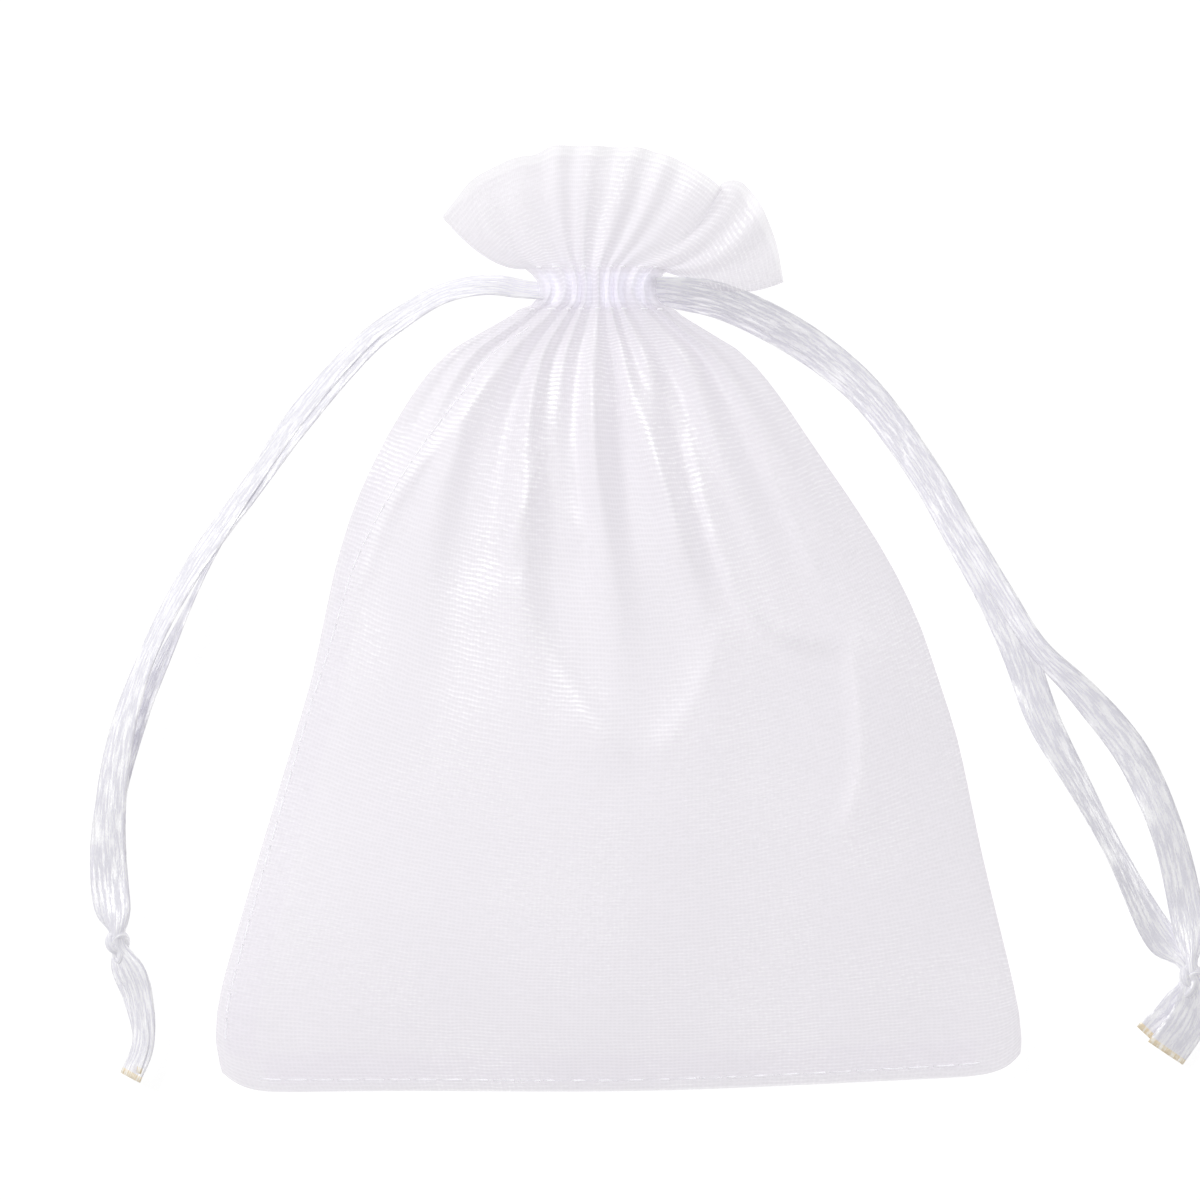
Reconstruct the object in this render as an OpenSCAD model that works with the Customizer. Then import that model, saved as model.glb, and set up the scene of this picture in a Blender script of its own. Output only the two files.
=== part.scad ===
// Drawstring gift pouch of sheer organza, lying on its back with the mouth drawn shut.
// +X runs to the right, +Y from the bottom edge to the ruffled mouth and +Z up from the
// surface that the pouch lies on. The origin is under the middle of the pouch.
// One folded cloth makes the bag: a fold on the right, and seams on the left and bottom.
// Each ribbon runs round the whole casing and leaves it on one side, both ends knotted.

/* [Pouch] */
// Width across the widest part, just above the bottom edge
pouch_w = 70; // [64:1:76]
// Length from the bottom edge to the top of the ruffle
pouch_h = 82; // [82:1:86]
// Height of the belly above the surface
belly_h = 12.5; // [11:0.5:15]
// Thickness of the solid that stands for the cloth
cloth_t = 0.5; // [0.4:0.05:0.6]

/* [Neck] */
// Width of the gathered neck
neck_w = 11.5; // [11:0.5:13]
// Height of the gathered neck above the surface
neck_h = 7.5; // [7.5:0.25:9]
// Length of the casing that holds the ribbons, between its two rows of stitching
casing_l = 3.6; // [3.4:0.1:4]
// Number of pleats in each side of the ruffle
pleats = 9; // [5:1:12]
// Height of a pleat at the edge of the ruffle
pleat_h = 1.2; // [0.4:0.1:1.6]

/* [Seams] */
// Width of the seam allowance turned inside
allowance_w = 3; // [2:0.5:4]
// Length of one stitch
stitch_l = 1.6; // [1:0.1:2]
// Thickness of the sewing thread
thread_d = 0.3; // [0.2:0.05:0.4]

/* [Ribbons] */
// Width of the satin ribbon
ribbon_w = 3; // [2:0.25:3]
// Thickness of the solid that stands for the ribbon
ribbon_t = 0.3; // [0.2:0.05:0.35]
// Length of each knot along the ribbons
knot_l = 3.4; // [3:0.1:4]

/* [Hidden] */
$fn = 24;

CLOTH = [0.92, 0.91, 0.95];
HEM = [0.88, 0.87, 0.93];
THREAD = [0.97, 0.97, 0.99];
RIBBON = [0.94, 0.94, 0.99];

fold_l = 57;                     // from the bottom edge to where the front of the neck hinges
bottom_y = -pouch_h / 2;
fold_y = bottom_y + fold_l;
casing_y = bottom_y + 69.6;      // middle of the casing
gather_l = casing_y - 3 - fold_y;    // from the hinge to where the gathers are tight
ruffle_y = casing_y + 2.3;       // where the ruffle starts above the casing
neck_x = -1.8;                   // the neck is gathered a little left of the middle
rim_gap = 0.1;                   // between the front and the back along their edges
joint_gap = 0.2;                 // between pieces on different bodies
layer_gap = 0.15;                // between the layers in the casing
facing_w = 0.6 * neck_w;         // the facing stops short of the ribbons' way out
outlet_gap = 1;                  // half the height of the slit that the ribbons leave by

// Edges of the pouch: height above the bottom edge, then part of half the width. The last
// height is inside the neck's width, which takes over there.
LEFT_EDGE = [[0, 0.95], [2, 0.99], [5, 1], [9, 0.985], [21, 0.885], [36, 0.755], [46, 0.695],
    [51, 0.65], [56, 0.585], [61, 0.5], [64.5, 0.42], [66.2, 0.35], [67.4, 0.2]];
RIGHT_EDGE = [[0, 0.965], [2, 0.995], [5, 1], [9, 0.98], [21, 0.895], [31, 0.835], [41, 0.74],
    [46, 0.67], [51, 0.58], [56, 0.48], [61, 0.385], [64.5, 0.3], [66.2, 0.24], [67.2, 0.1]];
// Height of the front above the surface, as height above the bottom edge, then part of the belly
CROWN = [[0, 0.2], [2, 0.38], [5, 0.58], [10, 0.78], [16, 0.92], [24, 1], [32, 0.98], [44, 0.86],
    [57, 0.7]];
// Height of the edge where front and back meet, the same way, in millimetres
RIM = [[0, 1.9], [8, 2.8], [20, 3.4], [40, 3.7], [57, 3.75], [90, 3.75]];

// Ribbon routes, from the way out of the casing to the pivot of the free end, and on through
// the knot to the cut end. The front ribbon of each pair lies on the back one.
LEFT_FRONT_LEG = [[-8.1, 28.7, 4.3], [-11.4, 29.1, 4.1], [-15.2, 28.4, 3], [-19, 26.3, 1.6],
    [-22.5, 23.5, 1]];
LEFT_BACK_LEG = [[-8.1, 28.7, 3.1], [-11.4, 29.1, 3.05], [-15.2, 28.4, 1.8], [-19, 26.3, 0.7],
    [-22.5, 23.5, 0.3]];
RIGHT_FRONT_LEG = [[4.5, 28.4, 4.3], [8.6, 27.7, 4.1], [13.2, 25.8, 3], [17.8, 23, 1.6],
    [22, 19.2, 1]];
RIGHT_BACK_LEG = [[4.5, 28.4, 3.1], [8.6, 27.7, 3.05], [13.2, 25.8, 1.8], [17.8, 23, 0.7],
    [22, 19.2, 0.3]];
LEFT_FRONT_END = [[-28, 17.2, 1], [-32.6, 11, 1], [-36.8, 5.2, 1], [-40.4, -1.4, 1],
    [-43, -8.5, 1], [-44.3, -16, 1], [-44.2, -22.5, 1], [-43.1, -28, 2], [-41.7, -32.5, 1.1],
    [-41.5, -36.5, 0.8], [-42.6, -39.4, 0.8]];
LEFT_BACK_END = [[-28, 17.2, 0.3], [-31.9, 11, 0.3], [-35.2, 4.8, 0.3], [-38.2, -1.4, 0.3],
    [-41.2, -7.8, 0.3], [-43.7, -15.4, 0.3], [-44.2, -22, 0.4], [-43.1, -28, 1.3],
    [-41.8, -32.3, 0.4], [-41.1, -36, 0.3], [-41.8, -39, 0.3]];
RIGHT_FRONT_END = [[26.4, 13.1, 1], [29.6, 7.8, 1], [32.9, 2.4, 1], [36, -2.4, 1],
    [40.2, -6.6, 1], [44.4, -11.8, 1], [47.2, -18, 1], [48.9, -24.6, 1], [49.7, -31, 2],
    [49.2, -34.2, 1.1], [47.2, -37.2, 0.8]];
RIGHT_BACK_END = [[26.4, 13.1, 0.3], [29.6, 7.8, 0.3], [32.8, 2.4, 0.3], [35.2, -2.8, 0.3],
    [37.3, -8.6, 0.3], [40.3, -14.2, 0.3], [43.4, -20, 0.3], [46.4, -25.8, 0.4],
    [49.7, -31, 1.3], [48.9, -34, 0.4], [46.6, -36.6, 0.3]];
knot_z = 1.7;                    // height of the middle of each knot
// The round end of a leg: distance past the pivot, then part of half the ribbon's width
ROUND_END = [[0.5, 0.87], [0.87, 0.5], [1, 0.12]];

// ---------------------------------------------------------------- shape functions

// Value of a table at x, rounded off over 2 mm each side
function soft_lookup(x, table) =
    (lookup(x - 2, table) + 2 * lookup(x - 0.7, table) + 2 * lookup(x + 0.7, table)
        + lookup(x + 2, table)) / 6;

function mix(a, b, part) = a + (b - a) * part;

function smooth(part) = let (t = max(0, min(1, part))) t * t * (3 - 2 * t);

function left_x(y) =
    min(-pouch_w / 2 * soft_lookup(y - bottom_y, LEFT_EDGE), neck_x - neck_w / 2);

function right_x(y) =
    max(pouch_w / 2 * soft_lookup(y - bottom_y, RIGHT_EDGE), neck_x + neck_w / 2);

function across(u, y) = mix(left_x(y), right_x(y), u);

function rim_z(y) = lookup(y - bottom_y, RIM);

function arch(u) = pow(sin(180 * u), 0.7);

// The back drops away from the rim at both sides and is flat in between
function drop(u, lift) = max(0, 1 - 1.3 * lift * (1 - pow(abs(2 * u - 1), 3)));

// The front and the back part round the way out of the ribbons
function parting(y) =
    mix(rim_gap, outlet_gap, smooth((y - fold_y) / gather_l));

function crown_z(y) =
    y < fold_y ? belly_h * soft_lookup(y - bottom_y, CROWN)
               : mix(belly_h * soft_lookup(fold_l, CROWN), neck_h, smooth((y - fold_y) / gather_l));

// Outer surface of the front, and of the back, which lies flat on the surface in the middle
function front_z(u, y) =
    let (side = rim_z(y) + parting(y) + cloth_t)
    side + max(0, crown_z(y) - side) * arch(u);

function back_z(u, y) =
    (rim_z(y) - parting(y) - cloth_t) * drop(u, smooth((y - bottom_y) / 9));

// Part of the neck's width at x
function neck_part(x) = (x - neck_x) / neck_w + 0.5;

// The ruffle's edge: an ellipse-like fan round the middle of the casing
function fan_angle(u) = mix(158, -2, u);

function fan_radius(a) = pouch_h / 2 - casing_y - 0.2 + 3.4 * pow(cos(a), 2);

function fan_edge(u) =
    let (a = fan_angle(u))
    [neck_x + fan_radius(a) * cos(a), casing_y + 0.2 + fan_radius(a) * sin(a)];

function fan_point(u, v) =
    let (edge = fan_edge(u))
    [mix(neck_x + (u - 0.5) * neck_w, edge[0], v), mix(ruffle_y, edge[1], v)];

function pleat(u) = (1 - cos(360 * pleats * u)) / 2;

// ---------------------------------------------------------------- solid builders

// Closed solid between two functions of (u, v) that share their x and y
module slab(across_n, along_n, upper, lower) {
    row = across_n + 1;
    count = row * (along_n + 1);
    top = [for (j = [0:along_n]) for (i = [0:across_n]) upper(i / across_n, j / along_n)];
    under = [for (j = [0:along_n]) for (i = [0:across_n]) lower(i / across_n, j / along_n)];
    skin = [for (j = [0:along_n - 1]) for (i = [0:across_n - 1])
        let (a = j * row + i)
        each [[a, a + row, a + 1], [a + 1, a + row, a + row + 1]]];
    // The corners of the grid's rim, in order round it
    rim = concat(
        [for (i = [0:across_n - 1]) i],
        [for (j = [0:along_n - 1]) j * row + across_n],
        [for (i = [0:across_n - 1]) along_n * row + across_n - i],
        [for (j = [0:along_n - 1]) (along_n - j) * row]);
    wall = [for (k = [0:len(rim) - 1])
        let (a = rim[k], b = rim[(k + 1) % len(rim)])
        each [[b, b + count, a + count], [b, a + count, a]]];
    base = [for (face = skin) [face[2] + count, face[1] + count, face[0] + count]];
    polyhedron(points = concat(top, under), faces = concat(skin, wall, base));
}

// Cloth between two heights above the bottom edge, from part u0 to part u1 of the width
module cloth(y0, y1, across_n, along_n, outer, inner, u0 = 0, u1 = 1) {
    slab(across_n, along_n,
        function (u, v) let (y = mix(y0, y1, v), w = mix(u0, u1, u)) [across(w, y), y, outer(w, y)],
        function (u, v) let (y = mix(y0, y1, v), w = mix(u0, u1, u)) [across(w, y), y, inner(w, y)]);
}

// Flat ribbon swept along a list of [x, y, z, part of full width]
module ribbon(route) {
    sides = 8;
    count = len(route);
    function way(i) =
        let (d = route[min(count - 1, i + 1)] - route[max(0, i - 1)])
        [d[0], d[1]] / norm([d[0], d[1]]);
    points = [for (i = [0:count - 1]) for (k = [0:sides - 1])
        let (t = way(i),
             a = 360 * (k + 0.5) / sides,
             reach = ribbon_w / 2 * route[i][3] * cos(a) / cos(180 / sides),
             rise = ribbon_t / 2 * sin(a) / sin(180 * 3 / sides))
        [route[i][0] - t[1] * reach, route[i][1] + t[0] * reach, route[i][2] + rise]];
    wall = [for (i = [0:count - 2]) for (k = [0:sides - 1])
        let (a = i * sides + k, b = i * sides + (k + 1) % sides)
        each [[a, a + sides, b], [b, a + sides, b + sides]]];
    first_end = [for (k = [0:sides - 1]) k];
    last_end = [for (k = [0:sides - 1]) count * sides - 1 - k];
    color(RIBBON) polyhedron(points = points, faces = concat(wall, [first_end], [last_end]));
}

function full_width(points) = [for (p = points) [p[0], p[1], p[2], 1]];

function heading(from, to) = let (d = [to[0] - from[0], to[1] - from[1]]) d / norm(d);

// A leg has a round end past its pivot, and the free end starts just clear of it
module ribbon_leg(leg, end) {
    pivot = leg[len(leg) - 1];
    way = heading(pivot, end[0]);
    round_end = [for (step = ROUND_END)
        let (past = step[0] * ribbon_w / 2)
        [pivot[0] + way[0] * past, pivot[1] + way[1] * past, pivot[2], step[1]]];
    ribbon(concat(full_width(leg), round_end));
}

module ribbon_end(leg, end) {
    pivot = leg[len(leg) - 1];
    way = heading(pivot, end[0]);
    clear = ribbon_w / 2 + joint_gap;
    start = [pivot[0] + way[0] * clear, pivot[1] + way[1] * clear, pivot[2], 1];
    ribbon(concat([start], full_width(end)));
}

// Stretch of ribbon inside the casing, following the cloth
module ribbon_run(outer, depth) {
    half = facing_w / 2 - 0.2;
    color(RIBBON)
        slab(12, 1,
            function (u, v) let (x = neck_x + mix(-half, half, u))
                [x, casing_y + (v - 0.5) * ribbon_w, outer(neck_part(x), casing_y) + depth],
            function (u, v) let (x = neck_x + mix(-half, half, u))
                [x, casing_y + (v - 0.5) * ribbon_w, outer(neck_part(x), casing_y) + depth - ribbon_t]);
}

// One stitch lying along a line between two points
module stitch(from, to) {
    d = to - from;
    length = norm(d);
    translate(from)
        rotate([0, acos(d[2] / length), atan2(d[1], d[0])])
            cylinder(h = length, d = thread_d, $fn = 16);
}

// Row of stitches across the neck, sunk by part of the thread into the cloth
module casing_stitching(y, outer, sink) {
    count = 6;
    pitch = 0.8 / count;
    length = 0.62 * pitch;
    color(THREAD)
        for (i = [0:count - 1]) {
            u0 = 0.1 + (i + 0.19) * pitch;
            u1 = u0 + length;
            stitch([across(u0, y), y, outer(u0, y) + sink], [across(u1, y), y, outer(u1, y) + sink]);
        }
}

// Pulled-tight overhand knot: a lump that is fuller on one side, with its length along Y
module knot(place, turn) {
    lobe_r = 1.1;
    reach = knot_l / 2 - lobe_r;
    color(RIBBON)
        translate([place[0], place[1], knot_z])
            rotate([0, 0, turn])
                hull() {
                    translate([0.2, reach, 0]) sphere(r = lobe_r);
                    translate([-0.2, -reach, 0.1]) sphere(r = lobe_r);
                    translate([-0.5, 0, 0.2]) sphere(r = lobe_r);
                }
}

// ---------------------------------------------------------------- cloth

module front_panel() {
    color(CLOTH)
        cloth(bottom_y, fold_y, 28, 24,
            function (u, y) front_z(u, y),
            function (u, y) front_z(u, y) - cloth_t);
}

module back_panel() {
    color(CLOTH)
        cloth(bottom_y, fold_y, 24, 18,
            function (u, y) back_z(u, y) + cloth_t,
            function (u, y) back_z(u, y));
}

module front_neck() {
    color(CLOTH)
        cloth(fold_y + joint_gap, ruffle_y - joint_gap / 2, 36, 10,
            function (u, y) front_z(u, y) + 0.25 * pleat(u) * smooth((y - fold_y) / 10),
            function (u, y) front_z(u, y) - cloth_t);
}

module back_neck() {
    color(CLOTH)
        cloth(fold_y, ruffle_y - joint_gap / 2, 20, 8,
            function (u, y) back_z(u, y) + cloth_t,
            function (u, y) back_z(u, y));
}

module front_hem_facing() {
    depth = cloth_t + 2 * ribbon_t + 3 * layer_gap;
    half = facing_w / neck_w / 2;
    color(HEM)
        cloth(casing_y - casing_l / 2, ruffle_y - joint_gap / 2, 14, 2,
            function (u, y) front_z(u, casing_y) - depth,
            function (u, y) front_z(u, casing_y) - depth - cloth_t + layer_gap,
            0.5 - half, 0.5 + half);
}

module back_hem_facing() {
    depth = cloth_t + 2 * ribbon_t + 3 * layer_gap;
    half = facing_w / neck_w / 2;
    color(HEM)
        cloth(casing_y - casing_l / 2, ruffle_y - joint_gap / 2, 14, 2,
            function (u, y) back_z(u, casing_y) + depth + cloth_t - layer_gap,
            function (u, y) back_z(u, casing_y) + depth,
            0.5 - half, 0.5 + half);
}

module front_ruffle() {
    // At the neck the ruffle meets the cloth, and at its edge it stands in pleats
    function z(u, v) =
        let (side = rim_z(ruffle_y) + mix(outlet_gap, rim_gap, smooth(v * 3)) + cloth_t)
        side + (neck_h - side) * arch(u) + pleat_h * pleat(u) * v;
    color(CLOTH)
        slab(54, 5,
            function (u, v) let (p = fan_point(u, v)) [p[0], p[1], z(u, v)],
            function (u, v) let (p = fan_point(u, v)) [p[0], p[1], z(u, v) - cloth_t]);
}

module back_ruffle() {
    function z(u, v) =
        let (side = rim_z(ruffle_y) - mix(outlet_gap, rim_gap, smooth(v * 3)) - cloth_t)
        side * drop(u, 1) + 0.6 * pleat_h * pleat(u) * v * arch(u);
    color(CLOTH)
        slab(54, 5,
            function (u, v) let (p = fan_point(u, v)) [p[0], p[1], z(u, v) + cloth_t],
            function (u, v) let (p = fan_point(u, v)) [p[0], p[1], z(u, v)]);
}

// ---------------------------------------------------------------- seams

// The allowances lie inside the pouch, on the back, from 1 mm inside the seam
module side_seam_allowance() {
    inset = 1;
    function at(part, y) = (inset + part * allowance_w) / (right_x(y) - left_x(y));
    function z(part, y) = back_z(at(part, y), y) + cloth_t + layer_gap;
    y0 = bottom_y + 6;
    y1 = fold_y - 1;
    color(HEM)
        slab(2, 16,
            function (u, v) let (y = mix(y0, y1, v)) [across(at(u, y), y), y, z(u, y) + cloth_t / 2],
            function (u, v) let (y = mix(y0, y1, v)) [across(at(u, y), y), y, z(u, y)]);
}

module bottom_seam_allowance() {
    inset = 1.2;
    margin = 0.09;
    function z(u, y) = back_z(u, y) + cloth_t + layer_gap;
    color(HEM)
        cloth(bottom_y + inset, bottom_y + inset + allowance_w, 18, 2,
            function (u, y) z(u, y) + cloth_t / 2,
            function (u, y) z(u, y),
            margin, 1 - margin);
}

module side_seam_stitching() {
    count = 22;
    inset = 0.6;
    y0 = bottom_y + 4;
    pitch = (fold_y - 2 - y0) / count;
    function at(y) =
        let (u = inset / (right_x(y) - left_x(y)))
        [across(u, y), y, front_z(u, y)];
    color(THREAD)
        for (i = [0:count - 1])
            let (y = y0 + i * pitch)
            stitch(at(y), at(y + stitch_l));
}

module bottom_seam_stitching() {
    count = 27;
    inset = 1;
    y = bottom_y + inset;
    x0 = left_x(y) + 3;
    pitch = (right_x(y) - 3 - x0) / count;
    function at(x) =
        let (u = (x - left_x(y)) / (right_x(y) - left_x(y)))
        [x, y, front_z(u, y)];
    color(THREAD)
        for (i = [0:count - 1])
            let (x = x0 + i * pitch)
            stitch(at(x), at(x + stitch_l));
}

module front_casing_stitching(y) {
    casing_stitching(y, function (u, y) front_z(u, y) + 0.25 * pleat(u), 0);
}

module back_casing_stitching(y) {
    casing_stitching(y, function (u, y) back_z(u, y), thread_d / 2);
}

module front_casing_lower_stitching() { front_casing_stitching(casing_y - casing_l / 2); }
module front_casing_upper_stitching() { front_casing_stitching(casing_y + casing_l / 2); }
module back_casing_lower_stitching() { back_casing_stitching(casing_y - casing_l / 2); }
module back_casing_upper_stitching() { back_casing_stitching(casing_y + casing_l / 2); }

// ---------------------------------------------------------------- ribbons

outer_depth = cloth_t + layer_gap;
inner_depth = outer_depth + ribbon_t + layer_gap;

module left_ribbon_front_run() {
    ribbon_run(function (u, y) front_z(u, y), -outer_depth);
}

module right_ribbon_front_run() {
    ribbon_run(function (u, y) front_z(u, y), -inner_depth);
}

module left_ribbon_back_run() {
    ribbon_run(function (u, y) back_z(u, y), outer_depth + ribbon_t);
}

module right_ribbon_back_run() {
    ribbon_run(function (u, y) back_z(u, y), inner_depth + ribbon_t);
}

module left_ribbon_front_leg() { ribbon_leg(LEFT_FRONT_LEG, LEFT_FRONT_END); }
module left_ribbon_back_leg() { ribbon_leg(LEFT_BACK_LEG, LEFT_BACK_END); }
module right_ribbon_front_leg() { ribbon_leg(RIGHT_FRONT_LEG, RIGHT_FRONT_END); }
module right_ribbon_back_leg() { ribbon_leg(RIGHT_BACK_LEG, RIGHT_BACK_END); }
module left_ribbon_front_end() { ribbon_end(LEFT_FRONT_LEG, LEFT_FRONT_END); }
module left_ribbon_back_end() { ribbon_end(LEFT_BACK_LEG, LEFT_BACK_END); }
module right_ribbon_front_end() { ribbon_end(RIGHT_FRONT_LEG, RIGHT_FRONT_END); }
module right_ribbon_back_end() { ribbon_end(RIGHT_BACK_LEG, RIGHT_BACK_END); }
module left_knot() { knot(LEFT_FRONT_END[7], 12); }
module right_knot() { knot(RIGHT_FRONT_END[8], 0); }

// ---------------------------------------------------------------- assembly

front_panel();
back_panel();
side_seam_allowance();
bottom_seam_allowance();
side_seam_stitching();
bottom_seam_stitching();
front_neck();
back_neck();
front_hem_facing();
back_hem_facing();
front_ruffle();
back_ruffle();
front_casing_lower_stitching();
front_casing_upper_stitching();
back_casing_lower_stitching();
back_casing_upper_stitching();
left_ribbon_front_run();
right_ribbon_front_run();
left_ribbon_back_run();
right_ribbon_back_run();
left_ribbon_front_leg();
left_ribbon_back_leg();
right_ribbon_front_leg();
right_ribbon_back_leg();
left_ribbon_front_end();
left_ribbon_back_end();
right_ribbon_front_end();
right_ribbon_back_end();
left_knot();
right_knot();
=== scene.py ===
import math

import bpy
import numpy as np
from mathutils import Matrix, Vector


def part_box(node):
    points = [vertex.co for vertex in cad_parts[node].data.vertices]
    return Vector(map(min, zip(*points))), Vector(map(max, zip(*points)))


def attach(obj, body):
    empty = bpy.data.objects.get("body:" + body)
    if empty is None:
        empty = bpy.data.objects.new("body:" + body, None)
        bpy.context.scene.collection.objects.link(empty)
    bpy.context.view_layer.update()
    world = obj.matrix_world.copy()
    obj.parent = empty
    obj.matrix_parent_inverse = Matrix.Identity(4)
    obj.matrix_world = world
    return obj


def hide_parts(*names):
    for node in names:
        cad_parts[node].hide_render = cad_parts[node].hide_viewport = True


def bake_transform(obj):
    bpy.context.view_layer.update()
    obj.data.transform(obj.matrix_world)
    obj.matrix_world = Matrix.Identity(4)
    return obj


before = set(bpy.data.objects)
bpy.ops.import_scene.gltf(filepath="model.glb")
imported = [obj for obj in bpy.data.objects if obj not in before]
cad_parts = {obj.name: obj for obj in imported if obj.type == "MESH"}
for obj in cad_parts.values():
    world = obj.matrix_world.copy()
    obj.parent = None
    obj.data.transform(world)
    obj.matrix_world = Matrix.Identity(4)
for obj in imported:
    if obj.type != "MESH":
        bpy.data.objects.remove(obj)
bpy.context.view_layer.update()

# A sheer organza pouch lies on its back with its mouth drawn shut. Shapes are worked out in
# millimetres, in the CAD model's own frame, and turned into metres when a mesh is made.
MM = 0.001


# ---------------------------------------------------------------- camera and light

FRAME_W = 103.4          # width of the picture at the pouch, mm
VIEW_CENTRE = (-1.6, 1.9)
PLANE_Z = 3.5            # height of the pouch's edges, where the picture has its scale
LENS = 120.0
SENSOR = 36.0


def add_camera():
    data = bpy.data.cameras.new("camera")
    data.lens = LENS
    data.sensor_width = SENSOR
    data.clip_start = 0.01
    data.clip_end = 10.0
    camera = bpy.data.objects.new("camera", data)
    height = PLANE_Z + FRAME_W * LENS / SENSOR
    camera.location = (VIEW_CENTRE[0] * MM, VIEW_CENTRE[1] * MM, height * MM)
    bpy.context.scene.collection.objects.link(camera)
    bpy.context.scene.camera = camera


add_camera()


# ---------------------------------------------------------------- mesh helpers

def new_mesh(name, points, faces, material, uv=None, crease=None):
    """Adds a mesh whose points are in millimetres. uv is one pair a point, in millimetres of cloth:
    across it and along it. crease is how sharply the cloth is folded at each point, from 0 to 1."""
    mesh = bpy.data.meshes.new(name)
    mesh.from_pydata((np.asarray(points, float) * MM).tolist(), [], [tuple(f) for f in faces])
    mesh.update()
    if uv is not None:
        layer = mesh.uv_layers.new(name="weave")
        loops = np.zeros(len(mesh.loops), np.int32)
        mesh.loops.foreach_get("vertex_index", loops)
        layer.data.foreach_set("uv", np.asarray(uv, np.float32)[loops].ravel())
    if crease is not None:
        values = mesh.attributes.new("crease", "FLOAT", "POINT").data
        values.foreach_set("value", np.asarray(crease, np.float32))
    mesh.polygons.foreach_set("use_smooth", [True] * len(mesh.polygons))
    mesh.materials.append(material)
    piece = bpy.data.objects.new(name, mesh)
    bpy.context.scene.collection.objects.link(piece)
    return piece


def grid_faces(rows, cols, closed=False):
    """Quads of a grid of points, row after row. A closed grid joins its last column to its first."""
    faces = []
    for j in range(rows - 1):
        for i in range(cols if closed else cols - 1):
            k = (i + 1) % cols
            faces.append((j * cols + i, j * cols + k, (j + 1) * cols + k, (j + 1) * cols + i))
    return faces


def mix(a, b, part):
    return a + (b - a) * part


def smooth_step(x):
    t = np.clip(x, 0.0, 1.0)
    return t * t * (3.0 - 2.0 * t)


def through(points, count):
    """count points evenly spaced along a smooth curve through the given points."""
    p = np.asarray(points, float)
    ends = np.vstack([2 * p[0] - p[1], p, 2 * p[-1] - p[-2]])
    steps = 24
    t = np.linspace(0, 1, steps, endpoint=False)[:, None]
    dense = []
    for a, b, c, d in zip(ends, ends[1:], ends[2:], ends[3:]):
        dense.append(0.5 * (2 * b + (c - a) * t + (2 * a - 5 * b + 4 * c - d) * t ** 2
                            + (3 * b - a - 3 * c + d) * t ** 3))
    dense = np.vstack(dense + [p[-1:]])
    return resample(dense, np.linspace(0, 1, count))


def resample(line, parts):
    """Points of a polyline at the given parts of its length."""
    step = np.linalg.norm(np.diff(line, axis=0), axis=1)
    run = np.concatenate([[0], np.cumsum(step)])
    places = np.asarray(parts) * run[-1]
    return np.stack([np.interp(places, run, line[:, k]) for k in range(line.shape[1])], 1)


def line_length(line):
    return float(np.linalg.norm(np.diff(line, axis=0), axis=1).sum())


# ---------------------------------------------------------------- materials

class Nodes:
    """A short way to write a material's node tree."""

    def __init__(self, name):
        self.material = bpy.data.materials.new(name)
        self.material.use_nodes = True
        self.tree = self.material.node_tree
        self.tree.nodes.clear()

    def add(self, kind, inputs=None, **settings):
        node = self.tree.nodes.new(kind)
        for key, value in settings.items():
            setattr(node, key, value)
        for key, value in (inputs or {}).items():
            self.set(node, key, value)
        return node

    def set(self, node, key, value):
        if isinstance(value, bpy.types.NodeSocket):
            self.tree.links.new(value, node.inputs[key])
        else:
            node.inputs[key].default_value = value

    def math(self, operation, a, b=0.0, c=None):
        inputs = {0: a, 1: b}
        if c is not None:
            inputs[2] = c
        return self.add("ShaderNodeMath", inputs, operation=operation).outputs[0]

    def scale_of(self, value, from_low, from_high, to_low, to_high):
        node = self.add("ShaderNodeMapRange", {"Value": value, "From Min": from_low, "From Max": from_high,
                                               "To Min": to_low, "To Max": to_high})
        return node.outputs["Result"]

    def mix_colour(self, part, a, b):
        node = self.add("ShaderNodeMix", data_type="RGBA")
        self.set(node, 0, part)
        self.set(node, 6, a)
        self.set(node, 7, b)
        return node.outputs[2]


THREAD_PITCH = 0.39      # between neighbouring threads of the weave, mm
BUMP_DEPTH = 0.00005     # of the threads in organza and in sewing thread, m
RIBBON_BUMP_DEPTH = 0.00012
GLINT_PAINTED_GLOW = 0.3      # painted glow of the glinting filaments, so that they never look darker than the cloth
WHITE = (1, 1, 1, 1)


def glints(n, mask, base, normal, tangent, roughness, turn):
    """Adds what shiny filaments throw back: bright where the cloth leans the right way to the light."""
    # Its emission is a painted glow, added so that the glints never look darker than the cloth around them
    shine = n.add("ShaderNodeBsdfPrincipled", {
        "Base Color": WHITE, "Metallic": 1.0, "Roughness": roughness, "Anisotropic": 0.8,
        "Anisotropic Rotation": turn, "Normal": normal, "Tangent": tangent,
        "Emission Color": WHITE, "Emission Strength": GLINT_PAINTED_GLOW})
    return n.add("ShaderNodeMixShader", {0: mask, 1: base, 2: shine.outputs[0]}).outputs[0]


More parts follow.
